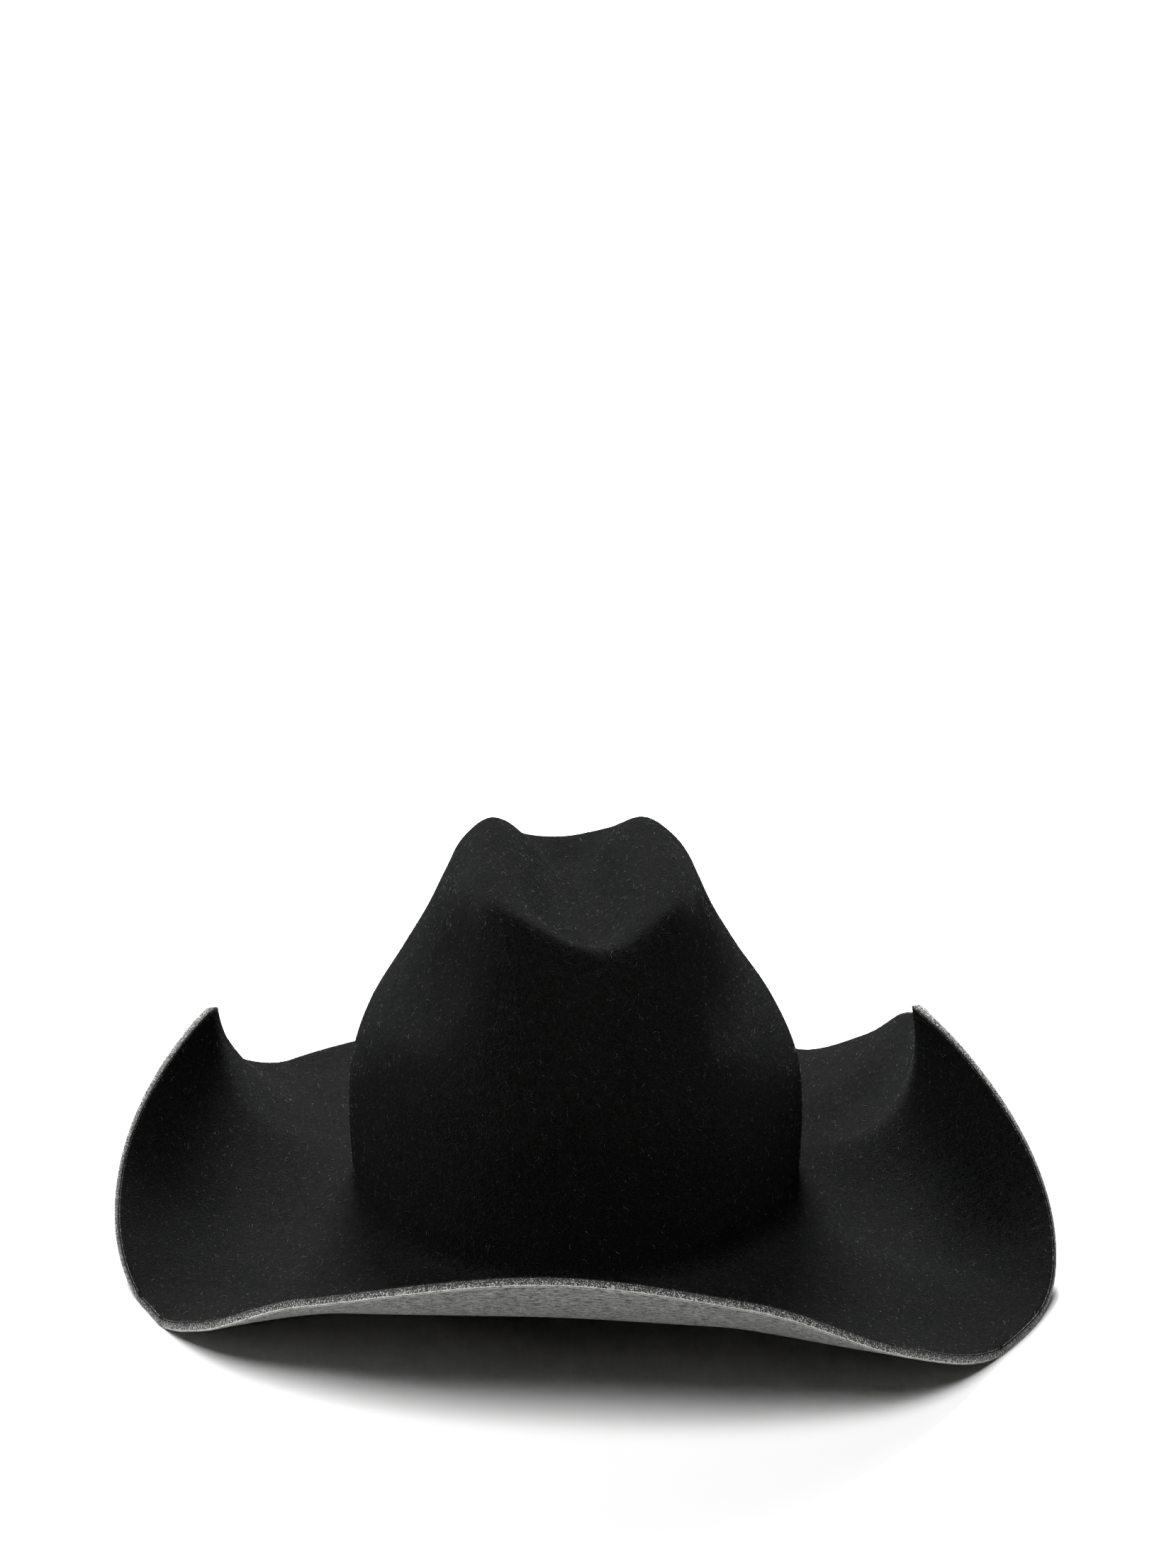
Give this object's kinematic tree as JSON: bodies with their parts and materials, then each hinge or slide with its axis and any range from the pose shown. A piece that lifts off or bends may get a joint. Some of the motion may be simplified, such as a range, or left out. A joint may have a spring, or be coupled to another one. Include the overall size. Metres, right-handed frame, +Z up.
{
  "type": "felt western hat",
  "caption": "Wide-brimmed western hat in black wool felt with a creased, dented crown, a brim curled up at the sides and a grey felt facing underneath.",
  "frame": {"origin": "middle of the hat's outline on the table it rests on", "axes": "+Z up, the front of the hat towards -Y, the viewer's left towards -X"},
  "size_m": [0.3512, 0.392, 0.1528],
  "materials": {
    "black_felt": "matt wool felt",
    "grey_felt": "matt melange wool felt"
  },
  "bodies": {
    "root": {"felt_body": "black_felt", "under_brim": "grey_felt"}
  },
  "joints": []
}
